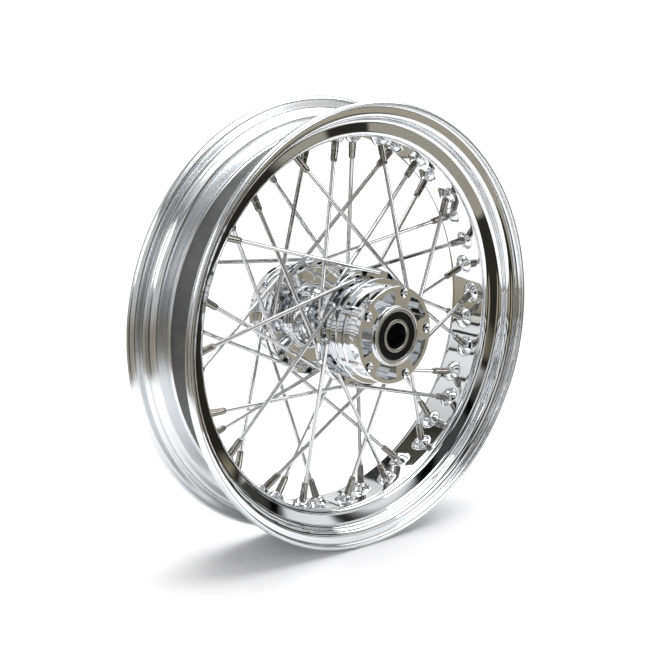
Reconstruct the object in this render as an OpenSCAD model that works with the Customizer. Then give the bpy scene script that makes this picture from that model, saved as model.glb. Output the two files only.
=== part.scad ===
// Laced motorcycle wheel: a drop-centre steel rim on forty crossed spokes,
// carried by a long five-bolt hub that turns on two sealed ball bearings.
// The wheel's centre is the origin and the axle lies along Y.
// Every module is drawn about +Z and stood on the axle by on_axle(), which
// puts +Z on the wheel's right-hand side (-Y) and its angles in the XZ plane.

/* [Rim] */
// Diameter of the bead seat, a 16 inch tyre
bead_seat_d = 405.6; // [380:1:440]
// Width between the two flanges, a 3.00 inch rim
rim_inner_w = 76.2; // [66:0.5:92]
// Height of the flange above the bead seat
flange_h = 14; // [12:0.5:17]
// Depth of the drop centre below the bead seat
well_depth = 18; // [15:0.5:20]
// Width of the drop centre's flat floor
well_w = 44; // [42:0.5:48]
// Thickness of the rolled sheet
sheet_t = 3; // [2.6:0.1:3.2]
// Diameter of the hole for the tyre valve
valve_hole_d = 8.5; // [8:0.1:11]
// Angle of the valve hole about the axle
valve_angle = 87.5; // [86.5:0.5:88.5]

/* [Spokes] */
// Number of spokes on each side, inner and outer together
spokes_per_side = 20; // [20:20:20]
// Diameter of the spoke wire
spoke_d = 4; // [3.6:0.1:4.1]
// Angle about the axle from a spoke's hub hole to its rim hole
lacing_angle = 72; // [70:0.5:74]
// Angle of the first outer spoke's hub hole on the right side
first_spoke = 2; // [0:0.5:4]
// Diameter of the nipple's barrel
nipple_d = 7.2; // [6.8:0.1:7.6]
// Length of the nipple under its head
nipple_l = 22; // [16:0.5:26]

/* [Hub] */
// Width of the hub over its two end faces
hub_w = 168; // [160:1:190]
// Height of the locating collar above each disc mounting face
collar_h = 3.5; // [2:0.1:6]
// Diameter of each end flange
end_flange_d = 93.6; // [93:0.1:98]
// Diameter of the bolt circle
bolt_circle_d = 82.55; // [81:0.05:83]
// Diameter of the tapped bolt holes, at the thread's crest
bolt_hole_d = 7.94; // [6.6:0.02:8.2]
// Wall of the locating collar around each bearing
collar_wall = 2.2; // [1.8:0.1:3]
// Diameter of the circle of spoke holes
spoke_circle_d = 110; // [109:0.5:111]
// Width of each spoke flange outside its circle of holes
flange_margin = 3.5; // [3:0.1:6]
// Distance from the wheel's centre to a spoke flange's inner face
spoke_flange_z = 35.5; // [33:0.1:37]

/* [Bearings] */
// Bore of the ball bearings, the axle's diameter
axle_d = 25; // [20:0.5:25]
// Outside diameter of the ball bearings
bearing_d = 52; // [51.6:0.1:52.4]
// Width of the ball bearings
bearing_w = 15; // [14.4:0.1:15.4]
// Diameter of the bearings' balls
ball_d = 7.94; // [7.5:0.02:8.4]

/* [Hidden] */
fn_ring = 180;
fn_part = 48;
fn_wire = 24;
eps = 0.01;
arc_steps = 5;

chrome = "gainsboro";
steel = "silver";
black_rubber = "dimgray";
brass_cage = "darkkhaki";

// Rim section, on the middle of the sheet
bead_r = bead_seat_d/2 - sheet_t/2;
well_r = bead_r - well_depth;
well_z = well_w/2 + 2.2;
wall_lean = 3.8;
flange_z = rim_inner_w/2 + sheet_t/2;
bead_rise = 0.6;
lip_r = bead_seat_d/2 + flange_h - sheet_t/2;
lip_w = 7.6;
lip_drop = 2.6;
lip_flare = 0.5;
rim_half = [
    [well_r, well_z],
    [bead_r, well_z + wall_lean],
    [bead_r + bead_rise, flange_z],
    [lip_r, flange_z + lip_flare],
    [lip_r, flange_z + lip_w],
    [lip_r - lip_drop, flange_z + lip_w + lip_flare]
];
half_bends = [3, 4.5, 6, 5, 2];

// Lacing
outer_count = spokes_per_side/2;
pitch = 360/outer_count;
hole_pitch = pitch/2;
side_shift = hole_pitch/2;
spoke_r = spoke_d/2;
spoke_gap = 0.2;
spoke_flange_t = 5;
spoke_flange_out = spoke_flange_z + spoke_flange_t;
hub_hole_r = spoke_circle_d/2;
spoke_flange_r = hub_hole_r + flange_margin;
inner_elbow_z = spoke_flange_z - spoke_r - spoke_gap;
outer_elbow_z = spoke_flange_out + spoke_r + 5.3;
rim_hole_z = 4;
head_r = spoke_r + 1.7;
head_h = 2.1;
elbow_swell = 0.06;
thread_gap = 0.05;

// Nipples and the dimples that they sit in, measured along the spoke from
// the middle of the sheet towards the hub
seat_depth = 4.2;
dimple_depth = seat_depth + 2.8;
nipple_r = nipple_d/2;
nipple_head_r = nipple_r + 1.1;
nipple_head_h = 2.6;
nipple_tip_h = 3;
nipple_tip_r = min(spoke_r + 0.7, nipple_r - 0.2);
nipple_gap = 0.2;
recess_floor_r = nipple_head_r + 0.3;
recess_rim_r = recess_floor_r + 2.6;
recess_lift = 5;
dimple_tip_r = recess_floor_r + 2;
dimple_base_r = recess_rim_r + 2.9;
spoke_end = seat_depth - nipple_head_h/2;

// Rubber strip over the nipple heads
strip_t = 1.8;
strip_w = well_w - 1.4;
strip_edge = 3;

// Hub
end_flange_t = 6.5;
end_flange_z = hub_w/2 - collar_h;
collar_r = bearing_d/2 + collar_wall;
end_flange_r = end_flange_d/2;
barrel_bore_r = axle_d/2 + 6.5;
barrel_r = barrel_bore_r + 6;
shoulder_r = bearing_d/2 - 4;
dish_z = spoke_flange_z + 2.5;
dish_r = hub_hole_r - 6;
flare_r = barrel_r + 6;
drum_r = 45.5;
guard_r = 51;
guard_t = 4;
guard_z = spoke_flange_out + 16;
neck_r = 43;
edge = 0.8;
bolt_r = bolt_circle_d/2;
bolt_count = 5;
bolt_first = 73.95;
bolt_depth = 22;
lug_r = 7;
window_in = collar_r + 1.6;
window_out = 42.4;
window_angle = 40;
window_depth = 20;
window_corner = 3;
petal_in = flare_r + 3;
petal_deep = 1.6;

// Bearings, measured from the bearing's outer face
seat_r = bearing_d/2;
inset = 0.5;
bearing_top = hub_w/2 - inset;
ball_pitch_r = (axle_d/2 + seat_r)/2 + 0.27;
ball_r = ball_d/2;
ball_count = 9;
race_r = ball_r + 0.06;
outer_land_r = ball_pitch_r + 2.48;
inner_land_r = ball_pitch_r - 2.52;
seal_groove = 2.2;
seal_r = outer_land_r + 1.3;
lip_land_r = inner_land_r - 1.1;
seal_t = 1.6;
seal_inset = 0.4;
lip_gap = 0.08;
cage_t = 2.4;
cage_w = 10;
pocket_r = ball_r + 0.08;
ring_edge = 0.5;
spacer_r = axle_d/2 + 3.5;
spacer_bore_r = axle_d/2 + 0.5;

// Stands a piece drawn about +Z on the axle
module on_axle() {
    rotate([90, 0, 0]) children();
}

// Draws a right-hand piece on the left side
module on_left() {
    mirror([0, 0, 1]) children();
}

// Left normal of the line from a to b
function left_of(a, b) = let (d = b - a) [-d[1], d[0]]/norm(d);
function turned(v, angle) = [
    v[0]*cos(angle) - v[1]*sin(angle),
    v[0]*sin(angle) + v[1]*cos(angle)
];

// Points of one rounded bend at b, moved sideways by shift
function bend(a, b, c, radius, shift) =
    let (
        u = left_of(a, b),
        v = left_of(b, c),
        turn = atan2(u[0]*v[1] - u[1]*v[0], u*v),
        hand = sign(turn),
        centre = b + hand*radius*(u + v)/(1 + u*v)
    )
    [for (i = [0:arc_steps]) centre - hand*(radius - hand*shift)*turned(u, turn*i/arc_steps)];

// One side of a sheet whose middle line runs through the points
function sheet_side(points, bends, shift) =
    let (last = len(points) - 1)
    concat(
        [points[0] + shift*left_of(points[0], points[1])],
        [for (i = [1:last - 1]) each
            bend(points[i - 1], points[i], points[i + 1], bends[i - 1], shift)],
        [points[last] + shift*left_of(points[last - 1], points[last])]
    );

function flipped(points) = [for (p = points) [p[0], -p[1]]];
function reversed(list) = [for (i = [len(list) - 1:-1:0]) list[i]];

// A point at radius r, angle a and height z
function polar(r, a, z) = [r*cos(a), r*sin(a), z];

// Elbow of a spoke at its hub hole, and its hole in the sheet of the rim
function elbow(angle, z) = polar(hub_hole_r, angle, z);
function rim_hole(angle) = polar(well_r, angle, rim_hole_z);
function hub_angle(outer, i) = first_spoke + (outer ? 0 : hole_pitch) + i*pitch;
function rim_angle(outer, i) = hub_angle(outer, i) + (outer ? 1 : -1)*lacing_angle;
function elbow_z(outer) = outer ? outer_elbow_z : inner_elbow_z;

// Carries its children to every spoke of one kind, standing at the rim hole
// with +Z running down the spoke to the hub
module along_spokes(outer) {
    for (i = [0:outer_count - 1]) {
        from = rim_hole(rim_angle(outer, i));
        line = elbow(hub_angle(outer, i), elbow_z(outer)) - from;
        translate(from)
            rotate([0, acos(line[2]/norm(line)), atan2(line[1], line[0])])
                children();
    }
}

function spoke_length(outer) =
    norm(elbow(hub_angle(outer, 0), elbow_z(outer)) - rim_hole(rim_angle(outer, 0)));

// Both sides and both kinds of spoke
module along_all_spokes() {
    for (outer = [true, false]) {
        along_spokes(outer) children();
        rotate([0, 0, side_shift]) on_left() along_spokes(outer) children();
    }
}

module rolled_section() {
    path = concat(reversed(flipped(rim_half)), rim_half);
    bends = concat(reversed(half_bends), half_bends);
    polygon(concat(
        sheet_side(path, bends, sheet_t/2),
        reversed(sheet_side(path, bends, -sheet_t/2))
    ));
}

module rim() {
    color(chrome) on_axle() difference() {
        union() {
            rotate_extrude($fn = fn_ring) rolled_section();
            intersection() {
                cylinder(r = well_r, h = well_w, center = true, $fn = fn_ring);
                along_all_spokes()
                    translate([0, 0, -recess_lift])
                        cylinder(
                            r1 = dimple_base_r,
                            r2 = dimple_tip_r,
                            h = dimple_depth + recess_lift,
                            $fn = fn_part
                        );
            }
        }
        along_all_spokes() {
            translate([0, 0, -recess_lift])
                cylinder(
                    r1 = recess_rim_r,
                    r2 = recess_floor_r,
                    h = seat_depth + recess_lift,
                    $fn = fn_part
                );
            cylinder(r = nipple_r + nipple_gap, h = 2*dimple_depth, $fn = fn_wire);
        }
        rotate([0, 0, valve_angle]) rotate([0, 90, 0])
            translate([0, 0, well_r - well_depth])
                cylinder(d = valve_hole_d, h = 2*well_depth, $fn = fn_part);
    }
}

module rim_strip() {
    floor_r = well_r + sheet_t/2;
    color(black_rubber) on_axle() difference() {
        rotate_extrude($fn = fn_ring) polygon([
            [floor_r, -strip_w/2],
            [floor_r, strip_w/2],
            [floor_r + strip_t/2, strip_w/2],
            [floor_r + strip_t, strip_w/2 - strip_edge],
            [floor_r + strip_t, strip_edge - strip_w/2],
            [floor_r + strip_t/2, -strip_w/2]
        ]);
        rotate([0, 0, valve_angle]) rotate([0, 90, 0])
            cylinder(d = valve_hole_d + 1, h = bead_seat_d, $fn = fn_part);
    }
}

// Right-hand half of the hub's outline, from the middle to the end face
module hub_half_section() {
    polygon([
        [barrel_bore_r, 0],
        [barrel_r, 0],
        [barrel_r, spoke_flange_z - 16],
        [barrel_r + 2, spoke_flange_z - 7],
        [flare_r, dish_z],
        [dish_r, dish_z],
        [dish_r + dish_z - spoke_flange_z, spoke_flange_z],
        [spoke_flange_r - edge, spoke_flange_z],
        [spoke_flange_r, spoke_flange_z + edge],
        [spoke_flange_r, spoke_flange_out - edge],
        [spoke_flange_r - edge, spoke_flange_out],
        [drum_r + 1.5, spoke_flange_out],
        [drum_r, spoke_flange_out + 1.5],
        [drum_r, guard_z - guard_t - 2],
        [drum_r + 2, guard_z - guard_t],
        [guard_r - edge, guard_z - guard_t],
        [guard_r, guard_z - guard_t + edge],
        [guard_r, guard_z - edge],
        [guard_r - edge, guard_z],
        [neck_r + 3, guard_z],
        [neck_r, guard_z + 3],
        [neck_r, end_flange_z - end_flange_t - 2],
        [neck_r + 2, end_flange_z - end_flange_t],
        [end_flange_r - edge, end_flange_z - end_flange_t],
        [end_flange_r, end_flange_z - end_flange_t + edge],
        [end_flange_r, end_flange_z - edge],
        [end_flange_r - edge, end_flange_z],
        [collar_r, end_flange_z],
        [collar_r, hub_w/2 - edge],
        [collar_r - edge, hub_w/2],
        [seat_r + ring_edge, hub_w/2],
        [seat_r, hub_w/2 - ring_edge],
        [seat_r, bearing_top - bearing_w],
        [shoulder_r, bearing_top - bearing_w],
        [shoulder_r, bearing_top - bearing_w - 3],
        [barrel_bore_r, bearing_top - bearing_w - 6]
    ]);
}

// A ring sector with rounded corners, centred on +X
module sector(r_in, r_out, angle, corner) {
    side_in = angle/2 - asin(corner/(r_in + corner));
    side_out = angle/2 - asin(corner/(r_out - corner));
    difference() {
        circle(r = r_out, $fn = fn_ring);
        circle(r = r_in + corner, $fn = fn_ring);
        wedge_outside(side_in, 2*r_out);
    }
    difference() {
        circle(r = r_out - corner, $fn = fn_ring);
        circle(r = r_in, $fn = fn_ring);
        wedge_outside(side_in, 2*r_out);
    }
    difference() {
        circle(r = r_out - corner, $fn = fn_ring);
        circle(r = r_in + corner, $fn = fn_ring);
        wedge_outside(angle/2, 2*r_out);
    }
    for (hand = [-1, 1]) {
        rotate(hand*side_in) translate([r_in + corner, 0]) circle(r = corner, $fn = fn_wire);
        rotate(hand*side_out) translate([r_out - corner, 0]) circle(r = corner, $fn = fn_wire);
    }
}

// Everything farther than half an angle from +X
module wedge_outside(half_angle, size) {
    polygon([
        [0, 0],
        size*[cos(half_angle), sin(half_angle)],
        size*[cos(half_angle), 2],
        size*[-2, 2],
        size*[-2, -2],
        size*[cos(half_angle), -2],
        size*[cos(half_angle), -sin(half_angle)]
    ]);
}

module hub_windows() {
    for (i = [0:bolt_count - 1])
        rotate([0, 0, bolt_first + (i + 0.5)*360/bolt_count])
            translate([0, 0, end_flange_z - window_depth])
                linear_extrude(height = window_depth + 1)
                    sector(window_in, window_out, window_angle, window_corner);
}

// The lugs that carry the threads, trimmed to the flange's circle
module bolt_lugs() {
    intersection() {
        cylinder(r = end_flange_r - edge, h = end_flange_z - 1, $fn = fn_ring);
        for (i = [0:bolt_count - 1])
            rotate([0, 0, bolt_first + i*360/bolt_count])
                translate([bolt_r, 0, guard_z - guard_t/2])
                    cylinder(r = lug_r, h = end_flange_z - guard_z, $fn = fn_part);
    }
}

module bolt_holes() {
    hole_r = bolt_hole_d/2;
    for (i = [0:bolt_count - 1])
        rotate([0, 0, bolt_first + i*360/bolt_count])
            translate([bolt_r, 0, end_flange_z - bolt_depth]) {
                cylinder(r = hole_r, h = bolt_depth + 1, $fn = fn_part);
                translate([0, 0, bolt_depth - edge])
                    cylinder(r1 = hole_r, r2 = hole_r + edge + eps, h = edge + eps, $fn = fn_part);
            }
}

// Holes through one spoke flange, countersunk on the side of the head
module spoke_holes() {
    sink_r = head_r + thread_gap;
    for (outer = [true, false], i = [0:outer_count - 1])
        translate(elbow(hub_angle(outer, i), spoke_flange_z)) {
            translate([0, 0, -1])
                cylinder(r = spoke_r + thread_gap, h = spoke_flange_t + 2, $fn = fn_wire);
            if (outer)
                cylinder(r1 = sink_r, r2 = spoke_r, h = head_h, $fn = fn_wire);
            else
                translate([0, 0, spoke_flange_t - head_h])
                    cylinder(r1 = spoke_r, r2 = sink_r, h = head_h, $fn = fn_wire);
        }
}

// Five shallow petals in the dished inner face of a spoke flange
module petals() {
    for (i = [0:bolt_count - 1])
        rotate([0, 0, bolt_first + (i + 0.5)*360/bolt_count])
            translate([0, 0, dish_z - 1])
                linear_extrude(height = 1 + petal_deep)
                    sector(petal_in, dish_r - 1, 1.3*window_angle, window_corner);
}

// Cuts that both ends have in line with each other
module hub_end_cuts() {
    hub_windows();
    bolt_holes();
    petals();
}

module hub_body() {
    color(chrome) on_axle() difference() {
        union() {
            rotate_extrude($fn = fn_ring) {
                hub_half_section();
                mirror([0, 1]) hub_half_section();
            }
            bolt_lugs();
            on_left() bolt_lugs();
        }
        hub_end_cuts();
        on_left() hub_end_cuts();
        spoke_holes();
        rotate([0, 0, side_shift]) on_left() spoke_holes();
    }
}

// One wire: shank, elbow, leg through the flange and flush conical head.
// The leg starts at the head's face and ends at the elbow.
module spoke(outer, i) {
    head_z = outer ? spoke_flange_z : spoke_flange_out;
    bend_z = elbow_z(outer);
    at = hub_angle(outer, i);
    translate(elbow(at, 0)) {
        translate([0, 0, min(head_z, bend_z)])
            cylinder(r = spoke_r, h = abs(bend_z - head_z), $fn = fn_wire);
        translate([0, 0, bend_z])
            sphere(r = spoke_r + elbow_swell, $fn = fn_wire);
        translate([0, 0, outer ? head_z : head_z - head_h])
            cylinder(
                r1 = outer ? head_r : spoke_r - eps,
                r2 = outer ? spoke_r - eps : head_r,
                h = head_h,
                $fn = fn_wire
            );
    }
}

module spokes(outer) {
    for (i = [0:outer_count - 1]) spoke(outer, i);
    along_spokes(outer)
        translate([0, 0, spoke_end])
            cylinder(r = spoke_r, h = spoke_length(outer) - spoke_end, $fn = fn_wire);
}

module nipples(outer) {
    along_spokes(outer) difference() {
        union() {
            translate([0, 0, seat_depth - nipple_head_h])
                cylinder(r = nipple_head_r, h = nipple_head_h, $fn = fn_part);
            translate([0, 0, seat_depth - eps])
                cylinder(r = nipple_r, h = nipple_l - nipple_tip_h + eps, $fn = fn_wire);
            translate([0, 0, seat_depth + nipple_l - nipple_tip_h])
                cylinder(r1 = nipple_r, r2 = nipple_tip_r, h = nipple_tip_h, $fn = fn_wire);
        }
        cylinder(r = spoke_r + thread_gap, h = 2*nipple_l, $fn = fn_wire);
    }
}

module left_spokes(outer) {
    rotate([0, 0, side_shift]) on_left() spokes(outer);
}

module left_nipples(outer) {
    rotate([0, 0, side_shift]) on_left() nipples(outer);
}

module spokes_right_outer() {
    color(chrome) on_axle() spokes(true);
}

module spokes_right_inner() {
    color(chrome) on_axle() spokes(false);
}

module spokes_left_outer() {
    color(chrome) on_axle() left_spokes(true);
}

module spokes_left_inner() {
    color(chrome) on_axle() left_spokes(false);
}

module nipples_right_outer() {
    color(chrome) on_axle() nipples(true);
}

module nipples_right_inner() {
    color(chrome) on_axle() nipples(false);
}

module nipples_left_outer() {
    color(chrome) on_axle() left_nipples(true);
}

module nipples_left_inner() {
    color(chrome) on_axle() left_nipples(false);
}

// Tube that holds the two inner rings apart on the axle
module bearing_spacer() {
    length = 2*(bearing_top - bearing_w);
    color(steel) on_axle() difference() {
        cylinder(r = spacer_r, h = length, center = true, $fn = fn_part);
        cylinder(r = spacer_bore_r, h = length + 2, center = true, $fn = fn_part);
    }
}

// Moves a bearing drawn about its own middle plane into the right-hand seat
module in_seat() {
    translate([0, 0, bearing_top - bearing_w/2]) children();
}

module race() {
    translate([ball_pitch_r, 0]) circle(r = race_r, $fn = fn_part);
}

module outer_ring() {
    half = bearing_w/2;
    in_seat() rotate_extrude($fn = fn_ring) difference() {
        polygon([
            [seat_r, ring_edge - half],
            [seat_r, half - ring_edge],
            [seat_r - ring_edge, half],
            [seal_r, half],
            [seal_r, half - seal_groove],
            [outer_land_r, half - seal_groove],
            [outer_land_r, seal_groove - half],
            [seal_r, seal_groove - half],
            [seal_r, -half],
            [seat_r - ring_edge, -half]
        ]);
        race();
    }
}

module inner_ring() {
    half = bearing_w/2;
    bore_r = axle_d/2;
    in_seat() rotate_extrude($fn = fn_ring) difference() {
        polygon([
            [bore_r, ring_edge - half],
            [bore_r, half - ring_edge],
            [bore_r + ring_edge, half],
            [lip_land_r, half],
            [lip_land_r, half - seal_groove],
            [inner_land_r, half - seal_groove],
            [inner_land_r, seal_groove - half],
            [lip_land_r, seal_groove - half],
            [lip_land_r, -half],
            [bore_r + ring_edge, -half]
        ]);
        race();
    }
}

module ball_set() {
    in_seat()
        for (i = [0:ball_count - 1])
            rotate([0, 0, i*360/ball_count])
                translate([ball_pitch_r, 0, 0])
                    sphere(r = ball_r, $fn = fn_part);
}

module ball_cage() {
    in_seat() difference() {
        cylinder(r = ball_pitch_r + cage_t/2, h = cage_w, center = true, $fn = fn_ring);
        cylinder(r = ball_pitch_r - cage_t/2, h = cage_w + 2, center = true, $fn = fn_ring);
        for (i = [0:ball_count - 1])
            rotate([0, 0, i*360/ball_count]) rotate([0, 90, 0])
                cylinder(r = pocket_r, h = seat_r, $fn = fn_part);
    }
}

// Sealing washer, outward on the wheel's outside and inward on its inside
module seal(outward) {
    middle = bearing_w/2 - seal_inset - seal_t/2;
    in_seat() translate([0, 0, outward ? middle : -middle]) difference() {
        cylinder(r = seal_r, h = seal_t, center = true, $fn = fn_ring);
        cylinder(r = lip_land_r + lip_gap, h = seal_t + 2, center = true, $fn = fn_ring);
    }
}

module right_outer_ring() {
    color(steel) on_axle() outer_ring();
}

module right_inner_ring() {
    color(steel) on_axle() inner_ring();
}

module right_balls() {
    color(steel) on_axle() ball_set();
}

module right_cage() {
    color(brass_cage) on_axle() ball_cage();
}

module right_outer_seal() {
    color(black_rubber) on_axle() seal(true);
}

module right_inner_seal() {
    color(black_rubber) on_axle() seal(false);
}

module left_outer_ring() {
    color(steel) on_axle() on_left() outer_ring();
}

module left_inner_ring() {
    color(steel) on_axle() on_left() inner_ring();
}

module left_balls() {
    color(steel) on_axle() on_left() ball_set();
}

module left_cage() {
    color(brass_cage) on_axle() on_left() ball_cage();
}

module left_outer_seal() {
    color(black_rubber) on_axle() on_left() seal(true);
}

module left_inner_seal() {
    color(black_rubber) on_axle() on_left() seal(false);
}

rim();
rim_strip();
hub_body();
bearing_spacer();
spokes_right_outer();
spokes_right_inner();
spokes_left_outer();
spokes_left_inner();
nipples_right_outer();
nipples_right_inner();
nipples_left_outer();
nipples_left_inner();
right_outer_ring();
right_inner_ring();
right_balls();
right_cage();
right_outer_seal();
right_inner_seal();
left_outer_ring();
left_inner_ring();
left_balls();
left_cage();
left_outer_seal();
left_inner_seal();
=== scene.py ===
"""Finished looks of a laced motorcycle wheel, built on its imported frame.

Lengths in the outlines are millimetres, as (radius, distance out from the
wheel's middle plane); the axle is Y and the wheel's right-hand side is -Y.
"""

import math
import bmesh
import bpy
from mathutils import Matrix, Vector


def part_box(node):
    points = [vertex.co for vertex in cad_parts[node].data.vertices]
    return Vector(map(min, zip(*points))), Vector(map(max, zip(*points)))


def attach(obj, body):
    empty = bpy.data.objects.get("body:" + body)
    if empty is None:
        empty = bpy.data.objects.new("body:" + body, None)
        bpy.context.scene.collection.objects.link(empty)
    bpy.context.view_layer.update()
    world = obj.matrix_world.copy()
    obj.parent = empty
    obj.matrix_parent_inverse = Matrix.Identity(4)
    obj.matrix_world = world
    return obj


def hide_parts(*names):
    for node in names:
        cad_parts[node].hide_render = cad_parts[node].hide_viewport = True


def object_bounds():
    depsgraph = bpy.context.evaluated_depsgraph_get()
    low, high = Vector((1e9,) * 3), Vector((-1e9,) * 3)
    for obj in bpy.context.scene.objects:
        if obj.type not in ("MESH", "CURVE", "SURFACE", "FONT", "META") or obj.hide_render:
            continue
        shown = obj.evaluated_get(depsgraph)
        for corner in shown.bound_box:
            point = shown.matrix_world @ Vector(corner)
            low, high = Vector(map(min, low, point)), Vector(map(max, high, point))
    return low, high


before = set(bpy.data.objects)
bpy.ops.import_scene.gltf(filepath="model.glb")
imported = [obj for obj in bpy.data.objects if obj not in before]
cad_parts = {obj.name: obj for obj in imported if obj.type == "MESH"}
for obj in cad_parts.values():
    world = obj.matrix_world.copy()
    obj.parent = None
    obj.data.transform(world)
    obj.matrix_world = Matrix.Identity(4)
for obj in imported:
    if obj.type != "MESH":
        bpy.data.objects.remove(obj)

bl_info = {
    "name": "Laced Wheel",
    "version": (1, 0, 0),
    "blender": (4, 5, 0),
    "location": "View3D > Sidebar > Wheel",
    "description": "Builds a laced motorcycle wheel round its frame",
    "category": "Object",
}

MM = 0.001
CAD_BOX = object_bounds()
AXLE = Vector((0, 1, 0))
RIGHT, LEFT = -1, 1


def node_size(node):
    """Outer radius and half width of a turned CAD node, in millimetres."""
    low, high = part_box(node)
    return (high.x - low.x) / 2 / MM, (high.y - low.y) / 2 / MM


RIM_R = node_size("rim")[0]
STRIP_R, STRIP_HALF_W = node_size("rim_strip")
HUB_R, HUB_HALF_W = node_size("hub_body")
BEARING_R = node_size("right_outer_ring")[0]
SPACER_R, SPACER_HALF_W = node_size("bearing_spacer")

# The 25 x 52 x 15 mm bearings; their outer faces lie just inside the hub's ends
BORE_R = 12.5
BEARING_W = 15
BEARING_OUT = HUB_HALF_W - 0.5
BALLS = 9
BALL_R = 3.96
BALL_PITCH_R = 19.52
TRACK_R = 4.03

# Bends of the spokes at the hub, and their countersunk heads
OUTER_STAND_OFF = 5.3
INNER_GAP = 0.2
ELBOW_BEND_R = 3.4
HEAD_R, HEAD_H = 3.7, 2.1
END_PAST_SEAT = 1.3

# The dimples pressed in the rim's well
WELL_FACET = 2.2
DIMPLE_FLAT_R = 4.6
DIMPLE_SPREAD_R = 9.0


# --- Sizes and colours that a user would change ---------------------------


class RimSettings(bpy.types.PropertyGroup):
    """The rolled steel rim and the strip in its well."""

    sheet: bpy.props.FloatProperty(
        name="Sheet", description="Thickness of the rolled sheet in mm", default=3.0
    )
    well_radius: bpy.props.FloatProperty(
        name="Well radius", description="Middle of the sheet in the well, in mm", default=183.3
    )
    bead_radius: bpy.props.FloatProperty(
        name="Bead radius", description="Middle of the sheet under the bead, in mm", default=201.3
    )
    well_half: bpy.props.FloatProperty(
        name="Half well", description="Half the width between the well's bends, in mm", default=24.2
    )
    flange_half: bpy.props.FloatProperty(
        name="Half flange width", description="Middle plane to a flange, in mm", default=39.6
    )
    valve_angle: bpy.props.FloatProperty(
        name="Valve angle",
        description="Where the valve hole is, about the axle",
        default=math.radians(87.5),
        subtype="ANGLE",
    )
    valve_radius: bpy.props.FloatProperty(
        name="Valve hole", description="Radius of the valve hole in mm", default=4.25
    )


class LacingSettings(bpy.types.PropertyGroup):
    """Spokes, nipples and the pattern that they are laced in."""

    per_kind: bpy.props.IntProperty(
        name="Spokes of a kind", description="Inner or outer spokes on one side", default=10
    )
    cross_angle: bpy.props.FloatProperty(
        name="Cross angle",
        description="Angle from a spoke's hub hole to its rim hole",
        default=math.radians(72),
        subtype="ANGLE",
    )
    first_angle: bpy.props.FloatProperty(
        name="First spoke",
        description="Hub hole of the first outer spoke on the right",
        default=math.radians(2),
        subtype="ANGLE",
    )
    wire: bpy.props.FloatProperty(name="Wire", description="Spoke diameter in mm", default=4.0)
    hub_circle: bpy.props.FloatProperty(
        name="Hub circle", description="Radius of the circle of spoke holes in mm", default=55.0
    )
    rim_offset: bpy.props.FloatProperty(
        name="Rim offset", description="Nipple hole to the middle plane in mm", default=4.0
    )
    seat: bpy.props.FloatProperty(
        name="Seat depth", description="Depth of a nipple's seat in its dimple, in mm", default=4.2
    )


class HubSettings(bpy.types.PropertyGroup):
    """The hub casting."""

    end_radius: bpy.props.FloatProperty(
        name="End flange", description="Radius of an end flange in mm", default=46.8
    )
    face: bpy.props.FloatProperty(
        name="Disc face", description="Middle plane to the disc's face in mm", default=80.5
    )
    collar: bpy.props.FloatProperty(
        name="Collar", description="Radius of the locating collar in mm", default=28.2
    )
    bolt_circle: bpy.props.FloatProperty(
        name="Bolt circle", description="Radius of the bolt circle in mm", default=41.275
    )
    bolt_hole: bpy.props.FloatProperty(
        name="Bolt hole", description="Radius of a bolt hole in mm", default=3.97
    )
    bolt_angle: bpy.props.FloatProperty(
        name="First bolt",
        description="Angle of the first bolt hole",
        default=math.radians(73.95),
        subtype="ANGLE",
    )
    bolts: bpy.props.IntProperty(name="Bolts", description="Bolt holes in each end", default=5)
    flange_in: bpy.props.FloatProperty(
        name="Spoke flange", description="Middle plane to a spoke flange in mm", default=35.5
    )
    flange_thick: bpy.props.FloatProperty(
        name="Flange thickness", description="Thickness of a spoke flange in mm", default=5.0
    )


class LookSettings(bpy.types.PropertyGroup):
    """Colours of the finishes."""

    chrome: bpy.props.StringProperty(
        name="Chrome", description="Colour of the chrome plate, sRGB hex", default="#E4E6E8"
    )
    strip: bpy.props.StringProperty(
        name="Strip", description="Colour of the rim strip's rubber, sRGB hex", default="#4A4A4B"
    )
    seal: bpy.props.StringProperty(
        name="Seal", description="Colour of the bearing seals' rubber, sRGB hex", default="#070707"
    )
    steel: bpy.props.StringProperty(
        name="Bearing steel", description="Colour of ground steel, sRGB hex", default="#B9BABC"
    )
    floor: bpy.props.StringProperty(
        name="Floor", description="Colour of the studio floor, sRGB hex", default="#F6F6F7"
    )


def settings():
    return bpy.context.scene.laced_wheel


# --- Materials ------------------------------------------------------------


def linear(colour):
    """Linear RGBA of an sRGB hex colour."""
    parts = [int(colour[i : i + 2], 16) / 255 for i in (1, 3, 5)]
    return (*[c / 12.92 if c <= 0.04045 else ((c + 0.055) / 1.055) ** 2.4 for c in parts], 1)


def add(tree, kind, inputs=(), **facts):
    """Adds a node, sets its facts, then sets or links its inputs by name."""
    node = tree.nodes.new(kind)
    for name, value in facts.items():
        setattr(node, name, value)
    for name, value in dict(inputs).items():
        if isinstance(value, bpy.types.NodeSocket):
            tree.links.new(value, node.inputs[name])
        else:
            node.inputs[name].default_value = value
    return node


def new_material(name):
    material = bpy.data.materials.new(name)
    material.use_nodes = True
    material.node_tree.nodes.clear()
    return material, material.node_tree


def finish_with(tree, shader):
    add(tree, "ShaderNodeOutputMaterial", {"Surface": shader.outputs[0]})


def per_metre(period_mm):
    """Noise scale whose features are that many millimetres apart."""
    return 1 / (period_mm * MM)


def ramp(tree, fac, low, high, start=0.0, end=1.0):
    """Maps fac from start-end to low-high."""
    node = add(
        tree,
        "ShaderNodeMapRange",
        {"Value": fac, "From Min": start, "From Max": end, "To Min": low, "To Max": high},
    )
    return node.outputs["Result"]


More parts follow.
